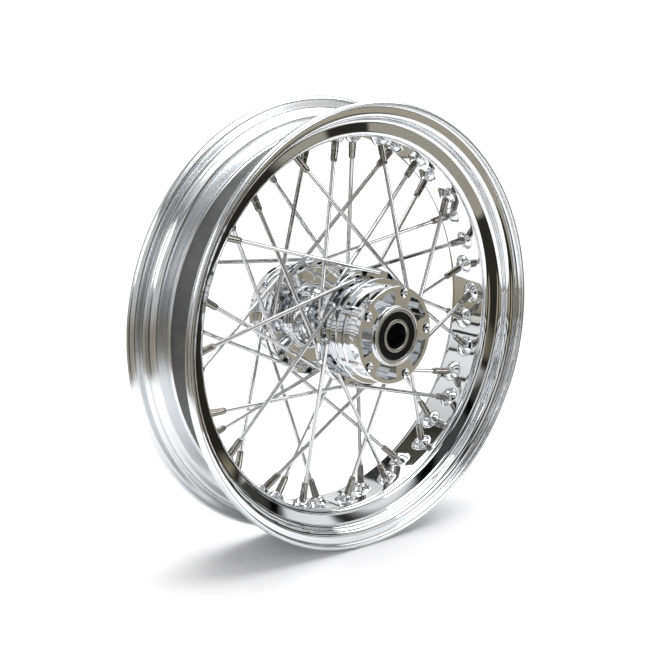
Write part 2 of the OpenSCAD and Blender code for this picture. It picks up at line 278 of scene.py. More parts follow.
def bumped(tree, height, depth_mm, strength=1.0):
    node = add(
        tree,
        "ShaderNodeBump",
        {"Height": height, "Distance": depth_mm * MM, "Strength": strength},
    )
    return node.outputs["Normal"]


def chrome_plate(name, smear_mm, wave_mm, wave_depth_mm, rough, colour=None, spread=2.6):
    """Bright chrome over polished steel: a mirror, with the faint orange peel of
    the plate and a little haze from wiping, so long reflections waver slightly."""
    material, tree = new_material(name)
    place = add(tree, "ShaderNodeTexCoord").outputs["Object"]
    peel = add(
        tree,
        "ShaderNodeTexNoise",
        {"Vector": place, "Scale": per_metre(wave_mm), "Detail": 0.5, "Roughness": 0.4},
    ).outputs["Fac"]
    smear = add(
        tree,
        "ShaderNodeTexNoise",
        {"Vector": place, "Scale": per_metre(smear_mm), "Detail": 4.0, "Roughness": 0.6},
    ).outputs["Fac"]
    shader = add(
        tree,
        "ShaderNodeBsdfPrincipled",
        {
            "Base Color": linear(colour or settings().look.chrome),
            "Metallic": 1.0,
            "Roughness": ramp(tree, smear, rough, rough * spread, 0.35, 0.75),
            "Normal": bumped(tree, peel, wave_depth_mm),
        },
    )
    finish_with(tree, shader)
    return material


def moulded_rubber(name, colour, rough, grain_mm, grain_depth_mm, dust, gloss=0.5):
    """Moulded rubber: dark, with a satin sheen, a fine grain and pale dust
    that lies unevenly on it."""
    material, tree = new_material(name)
    place = add(tree, "ShaderNodeTexCoord").outputs["Object"]
    grain = add(
        tree,
        "ShaderNodeTexNoise",
        {"Vector": place, "Scale": per_metre(grain_mm), "Detail": 3.0, "Roughness": 0.6},
    ).outputs["Fac"]
    cloud = add(
        tree,
        "ShaderNodeTexNoise",
        {"Vector": place, "Scale": per_metre(28), "Detail": 5.0, "Roughness": 0.62},
    ).outputs["Fac"]
    mixed = add(
        tree,
        "ShaderNodeMix",
        {"Factor": ramp(tree, cloud, 0.0, dust, 0.4, 0.75)},
        data_type="RGBA",
    )
    mixed.inputs[6].default_value = linear(colour)
    mixed.inputs[7].default_value = linear("#8C8C8A")
    shader = add(
        tree,
        "ShaderNodeBsdfPrincipled",
        {
            "Base Color": mixed.outputs[2],
            "Roughness": ramp(tree, cloud, rough, rough + 0.12, 0.3, 0.7),
            "IOR": 1.52,
            "Specular IOR Level": gloss,
            "Normal": bumped(tree, grain, grain_depth_mm),
        },
    )
    finish_with(tree, shader)
    return material


def turned_steel(name, colour, rough, groove_mm, groove_depth_mm):
    """Ground or turned steel: grey, with fine rings round the axle that spread
    the highlights across them."""
    material, tree = new_material(name)
    place = add(tree, "ShaderNodeTexCoord").outputs["Object"]
    axes = add(tree, "ShaderNodeSeparateXYZ", {"Vector": place})
    flat = add(
        tree, "ShaderNodeCombineXYZ", {"X": axes.outputs["X"], "Y": axes.outputs["Z"]}
    ).outputs["Vector"]
    radius = add(tree, "ShaderNodeVectorMath", {0: flat}, operation="LENGTH").outputs["Value"]
    ring = add(
        tree, "ShaderNodeCombineXYZ", {"X": radius, "Y": axes.outputs["Y"]}
    ).outputs["Vector"]
    grooves = add(
        tree,
        "ShaderNodeTexNoise",
        {"Vector": ring, "Scale": per_metre(groove_mm), "Detail": 3.0, "Roughness": 0.7},
    ).outputs["Fac"]
    shader = add(
        tree,
        "ShaderNodeBsdfPrincipled",
        {
            "Base Color": linear(colour),
            "Metallic": 1.0,
            "Roughness": ramp(tree, grooves, rough * 0.75, rough * 1.35, 0.3, 0.7),
            "Normal": bumped(tree, grooves, groove_depth_mm),
        },
    )
    finish_with(tree, shader)
    return material


def matt_floor(name, colour):
    """Matt painted studio floor: plain, with no gloss."""
    material, tree = new_material(name)
    shader = add(
        tree,
        "ShaderNodeBsdfPrincipled",
        {"Base Color": linear(colour), "Roughness": 0.9, "Specular IOR Level": 0.1},
    )
    finish_with(tree, shader)
    return material


def finish(key):
    """The finished material of that name, made once."""
    look = settings().look
    makers = {
        "polished_chrome_rim": lambda n: chrome_plate(n, 60, 40, 0.006, 0.02),
        "satin_chrome_rim": lambda n: chrome_plate(n, 90, 60, 0.006, 0.19, None, 1.2),
        "polished_chrome_hub": lambda n: chrome_plate(n, 22, 14, 0.004, 0.03),
        "chromed_wire": lambda n: chrome_plate(n, 12, 8, 0.002, 0.03, "#D2D2D3"),
        "chromed_nipple": lambda n: chrome_plate(n, 9, 6, 0.002, 0.04, "#8F8C87"),
        "moulded_strip_rubber": lambda n: moulded_rubber(n, look.strip, 0.42, 0.9, 0.03, 0.3),
        "moulded_seal_nitrile": lambda n: moulded_rubber(n, look.seal, 0.5, 0.5, 0.01, 0.02, 0.12),
        "ground_bearing_steel": lambda n: turned_steel(n, look.steel, 0.2, 0.35, 0.004),
        "pressed_cage_steel": lambda n: turned_steel(n, "#9A9488", 0.35, 0.8, 0.01),
        "drawn_spacer_steel": lambda n: turned_steel(n, "#77787B", 0.4, 0.9, 0.01),
        "matt_studio_floor": lambda n: matt_floor(n, look.floor),
    }
    return bpy.data.materials.get(key) or makers[key](key)


# --- Modelling helpers ----------------------------------------------------


def rounded(corners, steps=6):
    """Outline through (radius, out, rounding) corners, with an arc at each rounding."""
    points = []
    count = len(corners)
    for i, (r, out, rounding) in enumerate(corners):
        here = Vector((r, out))
        if not rounding or i in (0, count - 1):
            points.append(here)
            continue
        before = (Vector(corners[i - 1][:2]) - here).normalized()
        after = (Vector(corners[i + 1][:2]) - here).normalized()
        half = before.angle(after) / 2
        centre = here + (before + after).normalized() * (rounding / math.sin(half))
        start = here + before * (rounding / math.tan(half)) - centre
        end = here + after * (rounding / math.tan(half)) - centre
        sweep = start.angle_signed(end)
        points += [
            centre + Matrix.Rotation(-sweep * k / steps, 2) @ start for k in range(steps + 1)
        ]
    return points


def outline_edges(shape, outline, closed):
    """The outline as edges in the XY plane, in metres."""
    ring = [shape.verts.new((r * MM, out * MM, 0)) for r, out in outline]
    ends = ring[1:] + (ring[:1] if closed else [])
    return ring, [shape.edges.new(pair) for pair in zip(ring, ends)]


def turned(outline, steps, closed=True):
    """A bmesh turned about the axle from an outline."""
    shape = bmesh.new()
    ring, edges = outline_edges(shape, outline, closed)
    bmesh.ops.spin(
        shape,
        geom=ring + edges,
        cent=(0, 0, 0),
        axis=AXLE,
        angle=math.tau,
        steps=steps,
        use_merge=True,
    )
    bmesh.ops.remove_doubles(shape, verts=shape.verts, dist=1e-7)
    bmesh.ops.recalc_face_normals(shape, faces=shape.faces)
    return shape


def flip_side(shape):
    """Mirrors a bmesh to the wheel's other side, faces still outwards."""
    bmesh.ops.transform(shape, matrix=Matrix.Scale(-1, 4, AXLE), verts=shape.verts)
    bmesh.ops.reverse_faces(shape, faces=shape.faces)


def about_axle(angle):
    """Turn about the axle, from +X towards +Z."""
    return Matrix.Rotation(-angle, 4, "Y")


def smooth(mesh, sharp_angle):
    """Shades a mesh smooth, except over edges sharper than that many degrees."""
    mesh.shade_smooth()
    mesh.set_sharp_from_angle(angle=math.radians(sharp_angle))


def make_object(name, shape, sharp_angle=35):
    """A mesh object from a bmesh, which it frees."""
    mesh = bpy.data.meshes.new(name)
    shape.to_mesh(mesh)
    shape.free()
    made = bpy.data.objects.new(name, mesh)
    bpy.context.scene.collection.objects.link(made)
    smooth(mesh, sharp_angle)
    return made


def dress(piece, materials, slot, body, *nodes):
    """Gives a piece its materials and ties it to the frame."""
    for place, name in enumerate(materials.split()):
        if place < len(piece.data.materials):
            piece.data.materials[place] = finish(name)
        else:
            piece.data.materials.append(finish(name))
    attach(piece, body)
    if nodes:
        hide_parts(*nodes)


def apply_modifiers(piece):
    """Bakes the piece's modifiers into its mesh."""
    bpy.context.view_layer.update()
    view = piece.evaluated_get(bpy.context.evaluated_depsgraph_get())
    baked = bpy.data.meshes.new_from_object(view)
    old = piece.data
    piece.modifiers.clear()
    piece.data = baked
    bpy.data.meshes.remove(old)


def carve(piece, tool, operation="DIFFERENCE"):
    """Cuts a bmesh tool out of a piece, or joins it on."""
    cutter = make_object(piece.name + "_tool", tool)
    boolean = piece.modifiers.new("cut", "BOOLEAN")
    boolean.operation = operation
    boolean.solver = "EXACT"
    boolean.object = cutter
    apply_modifiers(piece)
    mesh = cutter.data
    bpy.data.objects.remove(cutter)
    bpy.data.meshes.remove(mesh)


# --- Lacing ---------------------------------------------------------------


def hub_point(angle, out):
    """A point on the circle of spoke holes, right-hand side."""
    r = settings().lacing.hub_circle
    return Vector((r * math.cos(angle), -out, r * math.sin(angle))) * MM


def lacing_lines(outer):
    """(hub angle, elbow, rim hole) of each right-hand spoke of one kind."""
    lace, hub = settings().lacing, settings().hub
    pitch = math.tau / lace.per_kind
    clear = lace.wire / 2
    if outer:
        elbow_out = hub.flange_in + hub.flange_thick + clear + OUTER_STAND_OFF
    else:
        elbow_out = hub.flange_in - clear - INNER_GAP
    lines = []
    for i in range(lace.per_kind):
        at_hub = lace.first_angle + i * pitch + (0 if outer else pitch / 2)
        at_rim = at_hub + (lace.cross_angle if outer else -lace.cross_angle)
        r = settings().rim.well_radius
        hole = Vector((r * math.cos(at_rim), -lace.rim_offset, r * math.sin(at_rim))) * MM
        lines.append((at_hub, hub_point(at_hub, elbow_out), hole))
    return lines


def to_left():
    """Carries a right-hand spoke to its place on the left."""
    lace = settings().lacing
    return about_axle(math.tau / lace.per_kind / 4) @ Matrix.Scale(-1, 4, AXLE)


def add_wire(shape, start, elbow, end, bend_radius, radius):
    """One bent wire with closed ends, made by extruding and spinning a circle."""
    leg = (elbow - start).normalized()
    shank = (end - elbow).normalized()
    turn = leg.angle(shank)
    reach = bend_radius * math.tan(turn / 2)
    axis = leg.cross(shank).normalized()
    first = elbow - leg * reach
    frame_of = leg.to_track_quat("Z", "Y").to_matrix().to_4x4()
    ring = bmesh.ops.create_circle(
        shape,
        cap_ends=True,
        segments=16,
        radius=radius,
        matrix=Matrix.Translation(start) @ frame_of,
    )["verts"]
    edges = list({e for v in ring for e in v.link_edges})

    def push(edges, by):
        new = bmesh.ops.extrude_edge_only(shape, edges=edges)["geom"]
        verts = [g for g in new if isinstance(g, bmesh.types.BMVert)]
        bmesh.ops.translate(shape, verts=verts, vec=by)
        return verts, [g for g in new if isinstance(g, bmesh.types.BMEdge) and
                       g.verts[0] in verts and g.verts[1] in verts]

    verts, edges = push(edges, first - start)
    centre = first + axis.cross(leg) * bend_radius
    last = bmesh.ops.spin(
        shape, geom=verts + edges, cent=centre, axis=axis, angle=turn, steps=8
    )["geom_last"]
    edges = [g for g in last if isinstance(g, bmesh.types.BMEdge)]
    verts, edges = push(edges, end - (elbow + shank * reach))
    bmesh.ops.contextual_create(shape, geom=edges)


def spokes(outer, left):
    """The ten spokes of one kind on one side."""
    lace, hub = settings().lacing, settings().hub
    shape = bmesh.new()
    radius = lace.wire / 2 * MM
    head_out = hub.flange_in if outer else hub.flange_in + hub.flange_thick
    for at_hub, elbow, hole in lacing_lines(outer):
        start = hub_point(at_hub, head_out)
        down = (hole - elbow).normalized()
        end = hole - down * (lace.seat - END_PAST_SEAT) * MM
        add_wire(shape, start, elbow, end, ELBOW_BEND_R * MM, radius)
        outwards = Vector((0, -1, 0)) if not outer else Vector((0, 1, 0))
        bmesh.ops.create_cone(
            shape,
            cap_ends=True,
            segments=24,
            radius1=radius * 0.9,
            radius2=HEAD_R * MM,
            depth=HEAD_H * MM,
            matrix=Matrix.Translation(start - outwards * HEAD_H / 2 * MM)
            @ outwards.to_track_quat("Z", "Y").to_matrix().to_4x4(),
        )
    if left:
        bmesh.ops.transform(shape, matrix=to_left(), verts=shape.verts)
    bmesh.ops.recalc_face_normals(shape, faces=shape.faces)
    return shape


NIPPLE = [
    # (radius, distance from the seat towards the hub, rounding)
    (2.06, -2.6, 0),
    (3.6, -2.6, 0),
    (4.7, -1.6, 0.5),
    (4.7, -0.4, 0.3),
    (3.6, 0.0, 0.2),
    (3.6, 12.0, 0.3),
    (3.35, 12.5, 0.2),
    (3.35, 19.4, 0.5),
    (2.9, 21.4, 0.5),
    (2.5, 22.0, 0.2),
    (2.06, 21.7, 0),
]


def nipples(outer, left):
    """The ten nipples of one kind on one side."""
    lace = settings().lacing
    pattern = bmesh.new()
    ring = [pattern.verts.new((r * MM, 0, z * MM)) for r, z in rounded(NIPPLE, 3)]
    edges = [pattern.edges.new(pair) for pair in zip(ring, ring[1:] + ring[:1])]
    bmesh.ops.spin(
        pattern,
        geom=ring + edges,
        cent=(0, 0, 0),
        axis=(0, 0, 1),
        angle=math.tau,
        steps=28,
        use_merge=True,
    )
    bmesh.ops.remove_doubles(pattern, verts=pattern.verts, dist=1e-7)
    base_verts = list(pattern.verts)
    base = base_verts + list(pattern.edges) + list(pattern.faces)
    for _, elbow, hole in lacing_lines(outer):
        along = (elbow - hole).normalized()
        copy = bmesh.ops.duplicate(pattern, geom=base)["geom"]
        bmesh.ops.transform(
            pattern,
            matrix=Matrix.Translation(hole + along * lace.seat * MM)
            @ along.to_track_quat("Z", "Y").to_matrix().to_4x4(),
            verts=[g for g in copy if isinstance(g, bmesh.types.BMVert)],
        )
    bmesh.ops.delete(pattern, geom=base_verts, context="VERTS")
    if left:
        bmesh.ops.transform(pattern, matrix=to_left(), verts=pattern.verts)
    bmesh.ops.recalc_face_normals(pattern, faces=pattern.faces)
    return pattern


def every_nipple_line():
    """(rim hole, direction to the hub) of all the spokes."""
    lines = []
    for outer in (True, False):
        for _, elbow, hole in lacing_lines(outer):
            along = (elbow - hole).normalized()
            lines.append((hole, along))
            lines.append((to_left() @ hole, (to_left().to_3x3() @ along).normalized()))
    return lines


# --- Pieces ---------------------------------------------------------------


def rim_middle_line():
    """Half the rim's section along the middle of the sheet, from the well out."""
    rim = settings().rim
    lip_r = RIM_R - rim.sheet / 2 - 0.02
    lip_out = rim.flange_half + 7.6
    return [
        (rim.well_radius, 0, 0),
        (rim.well_radius, rim.well_half, 5.5),
        (rim.bead_radius, rim.well_half + 3.8, 7.5),
        (rim.bead_radius + 0.6, rim.flange_half, 6),
        (lip_r, rim.flange_half + 0.5, 5),
        (lip_r, lip_out, 2),
        (lip_r - 2.6, lip_out + 0.5, 0),
    ]


def finely(points, gap):
    """Adds points so that none along the line are farther apart than gap."""
    dense = [points[0]]
    for a, b in zip(points, points[1:]):
        parts = max(1, math.ceil((b - a).length / gap))
        dense += [a.lerp(b, k / parts) for k in range(1, parts + 1)]
    return dense


def press_dimple(verts, hole, along, depth, flat, spread):
    """Draws the sheet down along a spoke into a flat-bottomed dimple."""
    for vert in verts:
        arm = vert.co - hole
        deep = arm.dot(along)
        aside = (arm - along * deep).length
        t = min(max((spread - aside) / (spread - flat), 0), 1)
        rise = 0.65 * t + 0.35 * t * t * (3 - 2 * t)
        vert.co += along * ((depth - deep) * rise)


class WHEEL_OT_rim(bpy.types.Operator):
    """Rolls the rim, presses its forty dimples and pierces the valve hole"""

    bl_idname = "wheel.rim"
    bl_label = "Rim"

    def execute(self, context):
        rim, lace = settings().rim, settings().lacing
        half = rounded(rim_middle_line(), 5)
        half = finely(half[:2], WELL_FACET) + half[2:]
        line = [Vector((r, -out)) for r, out in reversed(half[1:])] + half
        shape = turned(line, 420, closed=False)
        well = [v for v in shape.verts if abs(v.co.y) < (rim.well_half - 4.6) * MM]
        lines = every_nipple_line()
        spread = DIMPLE_SPREAD_R * MM
        near = [[v for v in well if (v.co - hole).length < spread * 1.35] for hole, _ in lines]
        faces = {f for group in near for v in group for f in v.link_faces}
        edges = list({e for f in faces for e in f.edges})
        bmesh.ops.subdivide_edges(shape, edges=edges, cuts=1, use_grid_fill=True)
        well = [v for v in shape.verts if abs(v.co.y) < (rim.well_half - 4.5) * MM]
        radius = rim.well_radius * MM
        for v in well:
            flat = math.hypot(v.co.x, v.co.z)
            v.co.x *= radius / flat
            v.co.z *= radius / flat
        depth = (lace.seat + rim.sheet / 2) * MM
        for hole, along in lines:
            group = [v for v in well if (v.co - hole).length < spread * 1.6]
            press_dimple(group, hole, along, depth, DIMPLE_FLAT_R * MM, spread)
        self.pierce(shape, well)
        bmesh.ops.recalc_face_normals(shape, faces=shape.faces)
        piece = make_object("rim_shell", shape, 60)
        solid = piece.modifiers.new("sheet", "SOLIDIFY")
        solid.thickness = rim.sheet * MM
        solid.offset = 0
        solid.use_even_offset = True
        solid.material_offset = 1
        coats = "satin_chrome_rim polished_chrome_rim"
        dress(piece, coats, "rim_chrome", "wheel", "rim")
        apply_modifiers(piece)
        return {"FINISHED"}

    @staticmethod
    def pierce(shape, well):
        """Opens the valve hole in the well's sheet."""
        rim = settings().rim
        out = about_axle(rim.valve_angle) @ Vector((rim.well_radius * MM, 0, 0))
        size = rim.valve_radius * MM
        inside = [v for v in well if v.is_valid and (v.co - out).length < size * 1.1]
        rims = {v for i in inside for f in i.link_faces for v in f.verts} - set(inside)
        bmesh.ops.delete(shape, geom=inside, context="VERTS")
        axis = out.normalized()
        for v in rims:
            arm = v.co - out
            up = axis * arm.dot(axis)
            v.co = out + up + (arm - up).normalized() * size


class WHEEL_OT_rim_strip(bpy.types.Operator):
    """Lays the rubber strip in the rim's well, over the nipple heads"""

    bl_idname = "wheel.rim_strip"
    bl_label = "Rim strip"

    def execute(self, context):
        rim = settings().rim
        floor = rim.well_radius + rim.sheet / 2
        edge = STRIP_HALF_W
        half = [
            (floor, 0, 0),
            (floor, edge, 0.3),
            (floor + 0.9, edge, 0.4),
            (STRIP_R - 0.5, edge - 3.2, 2),
            (STRIP_R - 0.5, edge - 8.5, 0.4),
            (STRIP_R, edge - 9.2, 0.4),
            (STRIP_R, 0, 0),
        ]
        side = rounded(half, 4)
        outline = side[:-1] + [Vector((r, -out)) for r, out in reversed(side[1:])]
        piece = make_object("rubber_strip", turned(outline, 360))
        hole = bmesh.new()
        bmesh.ops.create_cone(
            hole,
            cap_ends=True,
            segments=48,
            radius1=(rim.valve_radius + 0.5) * MM,
            radius2=(rim.valve_radius + 0.5) * MM,
            depth=20 * MM,
            matrix=about_axle(rim.valve_angle)
            @ Matrix.Translation((STRIP_R * MM, 0, 0))
            @ Matrix.Rotation(math.pi / 2, 4, "Y"),
        )
        carve(piece, hole)
        smooth(piece.data, 35)
        dress(piece, "moulded_strip_rubber", "strip_rubber", "wheel", "rim_strip")
        return {"FINISHED"}


def hub_half_outline():
    """Right-hand half of the hub's section, from the barrel's middle to its bore."""
    hub = settings().hub
    flange = hub.flange_in
    outer = flange + hub.flange_thick
    guard = outer + 16
    back = hub.face - 6.5
    end = HUB_HALF_W
    seat = BEARING_OUT - BEARING_W
    dish = flange + 2.5
    return [
        (25, 0, 0),
        (25, flange - 15, 20),
        (31, flange - 3, 5),
        (31.5, dish, 1.2),
        (48.6, dish, 1.0),
        (51.0, flange, 0.8),
        (HUB_R, flange, 0.9),
        (HUB_R, outer, 0.9),
        (45.5, outer, 1.5),
        (45.5, guard - 4, 1.5),
        (51.0, guard - 4, 0.8),
        (51.0, guard, 0.8),
        (43.0, guard, 3.0),
        (43.0, back, 1.8),
        (hub.end_radius, back, 0.8),
        (hub.end_radius, hub.face, 0.8),
        (hub.collar + 0.2, hub.face, 0.4),
        (hub.collar, end, 0.8),
        (BEARING_R, end, 0.4),
        (BEARING_R, seat, 0),
        (22, seat, 0.4),
        (22, seat - 3, 0.5),
        (19, seat - 6, 2),
        (19, 0, 0),
    ]


def sector_cutter(r_in, r_out, low, high, angle, middle, corner):
    """A ring sector with rounded upright corners, on the right-hand side."""
    shape = bmesh.new()
    ring, edges = outline_edges(
        shape, [(r_in, -low), (r_out, -low), (r_out, -high), (r_in, -high)], True
    )
    face = bmesh.ops.contextual_create(shape, geom=edges)["faces"]
    bmesh.ops.rotate(shape, verts=shape.verts, cent=(0, 0, 0), matrix=about_axle(-angle / 2))
    bmesh.ops.spin(
        shape,
        geom=list(shape.verts) + list(shape.edges) + face,
        cent=(0, 0, 0),
        axis=-AXLE,
        angle=angle,
        steps=24,
    )
    corners = [
        e
        for e in shape.edges
        if abs((e.verts[0].co - e.verts[1].co).normalized().dot(AXLE)) > 0.99
        and e.is_manifold
        and e.calc_face_angle(0) > 1
    ]
    bmesh.ops.bevel(
        shape,
        geom=corners,
        offset=corner * MM,
        offset_type="OFFSET",
        segments=6,
        profile=0.5,
        affect="EDGES",
        material=-1,
        clamp_overlap=True,
    )
    bmesh.ops.rotate(shape, verts=shape.verts, cent=(0, 0, 0), matrix=about_axle(middle))
    bmesh.ops.recalc_face_normals(shape, faces=shape.faces)
    return shape


def drill(shape, angle, radius, low, high, size):
    """Adds a drill along the axle to a cutter."""
    at = Vector((radius * math.cos(angle), 0, radius * math.sin(angle))) * MM
    turn = Matrix.Rotation(math.pi / 2, 4, "X")
    middle = at + Vector((0, -(low + high) / 2 * MM, 0))
    bmesh.ops.create_cone(
        shape,
        cap_ends=True,
        segments=48,
        radius1=size * MM,
        radius2=size * MM,
        depth=(high - low) * MM,
        matrix=Matrix.Translation(middle) @ turn,
    )


class WHEEL_OT_hub(bpy.types.Operator):
    """Turns the hub casting, then cuts its windows, bolt holes and spoke holes"""

    bl_idname = "wheel.hub"
    bl_label = "Hub"

    def execute(self, context):
        hub, lace = settings().hub, settings().lacing
        side = rounded(hub_half_outline(), 4)
        outline = [Vector((r, -out)) for r, out in reversed(side[1:])] + side[:-1]
        piece = make_object("hub_casting", turned(outline, 180))
        twist = math.tau / lace.per_kind / 4
        for left in (False, True):
            for operation, tool in self.end_tools(hub):
                if left:
                    flip_side(tool)
                carve(piece, tool, operation)
            wires = self.spoke_drills(hub, lace)
            if left:
                flip_side(wires)
                bmesh.ops.rotate(wires, verts=wires.verts, cent=(0, 0, 0), matrix=about_axle(twist))
            carve(piece, wires)
        smooth(piece.data, 32)
        edges = piece.modifiers.new("edges", "BEVEL")
        edges.width = 0.35 * MM
        edges.segments = 2
        edges.limit_method = "ANGLE"
        edges.angle_limit = math.radians(50)
        edges.use_clamp_overlap = True
        flats = piece.modifiers.new("flats", "WEIGHTED_NORMAL")
        flats.keep_sharp = True
        flats.weight = 80
        apply_modifiers(piece)
        dress(piece, "polished_chrome_hub", "hub_chrome", "wheel", "hub_body")
        return {"FINISHED"}

    def end_tools(self, hub):
        """(operation, tool) pairs for what both ends have in line."""
        pitch = math.tau / hub.bolts
        lugs = bmesh.new()
        for i in range(hub.bolts):
            angle = hub.bolt_angle + i * pitch
            drill(lugs, angle, 39.0, 55, hub.face - 3, 6.9)
        yield "UNION", lugs
        windows = bmesh.new()
        for i in range(hub.bolts):
            middle = hub.bolt_angle + (i + 0.5) * pitch
            cutter = sector_cutter(
                hub.collar + 1.6, 42.4, hub.face - 20, hub.face + 2, math.radians(40), middle, 3
            )
            self.merge(windows, cutter)
        yield "DIFFERENCE", windows
        petals = bmesh.new()
        for i in range(hub.bolts):
            middle = hub.bolt_angle + (i + 0.5) * pitch
            cutter = sector_cutter(
                34, 48, hub.flange_in, hub.flange_in + 4.1, math.radians(52), middle, 3
            )
            self.merge(petals, cutter)
        yield "DIFFERENCE", petals
        holes = bmesh.new()
        for i in range(hub.bolts):
            self.merge(holes, self.tap(hub, hub.bolt_angle + i * pitch))
        yield "DIFFERENCE", holes

    @staticmethod
    def tap(hub, angle):
        """One tapped hole: a countersink, then rings as deep as its thread."""
        step, crest, root = 1.5875, hub.bolt_hole, hub.bolt_hole + 0.62
        top, floor = hub.face - 0.8, hub.face - 22
        outline = [(0, hub.face + 1), (crest + 1.8, hub.face + 1), (crest, top)]
        depth = top - 0.3
        while depth - step > floor + 4:
            outline += [(crest, depth), (root, depth - step / 2)]
            depth -= step
        outline += [(crest, depth), (crest, floor), (0, floor - 1.5)]
        shape = bmesh.new()
        ring, edges = outline_edges(shape, [(r, -out) for r, out in outline], False)
        bmesh.ops.spin(
            shape,
            geom=ring + edges,
            cent=(0, 0, 0),
            axis=AXLE,
            angle=math.tau,
            steps=32,
            use_merge=True,
        )
        bmesh.ops.remove_doubles(shape, verts=shape.verts, dist=1e-6)
        bmesh.ops.recalc_face_normals(shape, faces=shape.faces)
        at = Vector((math.cos(angle), 0, math.sin(angle))) * (hub.bolt_circle * MM)
        bmesh.ops.translate(shape, verts=shape.verts, vec=at)
        return shape

    @staticmethod
    def spoke_drills(hub, lace):
        """Drills for the spoke holes of the right-hand flange."""
        wires = bmesh.new()
        size = lace.wire / 2 + 0.1
        low, high = hub.flange_in - 1, hub.flange_in + hub.flange_thick + 1
        for outer in (True, False):
            for at_hub, _, _ in lacing_lines(outer):
                drill(wires, at_hub, lace.hub_circle, low, high, size)
        return wires

    @staticmethod
    def merge(target, extra):
        """Adds one bmesh to another and frees it."""
        mesh = bpy.data.meshes.new("extra")
        extra.to_mesh(mesh)
        extra.free()
        target.from_mesh(mesh)
        bpy.data.meshes.remove(mesh)


class WHEEL_OT_spokes(bpy.types.Operator):
    """Bends and laces the forty spokes"""

    bl_idname = "wheel.spokes"
    bl_label = "Spokes"

    def execute(self, context):
        for side, left in (("right", False), ("left", True)):
            for kind, outer in (("outer", True), ("inner", False)):
                piece = make_object(f"{side}_{kind}_wires", spokes(outer, left), 50)
                dress(piece, "chromed_wire", "spoke_chrome", "wheel", f"spokes_{side}_{kind}")
        return {"FINISHED"}


class WHEEL_OT_nipples(bpy.types.Operator):
    """Screws a nipple on each spoke"""

    bl_idname = "wheel.nipples"
    bl_label = "Nipples"

    def execute(self, context):
        for side, left in (("right", False), ("left", True)):
            for kind, outer in (("outer", True), ("inner", False)):
                piece = make_object(f"{side}_{kind}_nipples", nipples(outer, left), 40)
                dress(piece, "chromed_nipple", "nipple_chrome", "wheel", f"nipples_{side}_{kind}")
        return {"FINISHED"}


def bearing_outlines():
    """Closed right-hand outlines of the ring and seal pieces, with their nodes."""
    top = BEARING_OUT
    low = top - BEARING_W
    mid = (top + low) / 2
    bore, seat = BORE_R, BEARING_R
    land_out, land_in = seat - 4, bore + 4.5
    lip = bore + 3.4
    groove = seat - 2.7
    step = 2.2

    def race(sign, r):
        """Arc of the ball track, cut into a ring at radius r."""
        reach = math.asin(abs(r - BALL_PITCH_R) / TRACK_R)
        start = math.pi / 2 - reach
        angles = [start + (math.pi - 2 * start) * k / 12 for k in range(13)]
        return [
            (BALL_PITCH_R + sign * TRACK_R * math.sin(a), mid + TRACK_R * math.cos(a), 0)
            for a in angles
        ]

    outer = [
        (seat, low, 0.6),
        (seat, top, 0.6),
        (groove, top, 0.3),
        (groove, top - step, 0),
        (land_out, top - step, 0.2),
        *race(1, land_out),
        (land_out, low + step, 0.2),
        (groove, low + step, 0),
        (groove, low, 0.3),
    ]
    inner = [
        (bore, low, 0.6),
        (bore, top, 0.6),
        (lip, top, 0.3),
        (lip, top - step, 0),
        (land_in, top - step, 0.2),
        *race(-1, land_in),
        (land_in, low + step, 0.2),
        (lip, low + step, 0),
        (lip, low, 0.3),
    ]

    def seal(face, back):
        """Face with a raised bead at each edge; back is the hidden side."""
        deep = 0.35 if face > back else -0.35
        return [
            (lip + 0.08, face, 0.15),
            (lip + 1.0, face, 0.15),
            (lip + 1.3, face - deep, 0.15),
            (groove - 1.3, face - deep, 0.15),
            (groove - 1.0, face, 0.15),
            (groove, face, 0.15),
            (groove, back, 0),
            (lip + 0.08, back, 0),
        ]

    return {
        "outer_ring": (outer, "ground_bearing_steel", "bearing_steel", "wheel"),
        "inner_ring": (inner, "ground_bearing_steel", "bearing_steel", "axle_set"),
        "outer_seal": (seal(top - 0.4, top - 2.0), "moulded_seal_nitrile", "seal_rubber", "wheel"),
        "inner_seal": (seal(low + 0.4, low + 2.0), "moulded_seal_nitrile", "seal_rubber", "wheel"),
    }


class WHEEL_OT_bearings(bpy.types.Operator):
    """Turns the rings and seals of both bearings and finishes their balls and cages"""

    bl_idname = "wheel.bearings"
    bl_label = "Bearings"

    def execute(self, context):
        for side, sign in (("right", RIGHT), ("left", LEFT)):
            for part, (corners, material, slot, body) in bearing_outlines().items():
                outline = rounded(corners + corners[:1], 4)[:-1]
                shape = turned([Vector((r, sign * out)) for r, out in outline], 128)
                piece = make_object(f"{side}_bearing_{part}", shape)
                dress(piece, material, slot, body, f"{side}_{part}")
            self.balls(side, sign)
            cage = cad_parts[f"{side}_cage"]
            cage.data.materials.clear()
            cage.data.materials.append(finish("pressed_cage_steel"))
        return {"FINISHED"}

    @staticmethod
    def balls(side, sign):
        """The nine balls of one bearing."""
        shape = bmesh.new()
        middle = BEARING_OUT - BEARING_W / 2
        for i in range(BALLS):
            angle = math.tau * i / BALLS
            across, up = BALL_PITCH_R * math.cos(angle), BALL_PITCH_R * math.sin(angle)
            place = Matrix.Translation(Vector((across, sign * middle, up)) * MM)
            bmesh.ops.create_icosphere(shape, subdivisions=3, radius=BALL_R * MM, matrix=place)
        piece = make_object(f"{side}_bearing_balls", shape)
        body, node = f"{side}_ball_train", f"{side}_balls"
        dress(piece, "ground_bearing_steel", "bearing_steel", body, node)


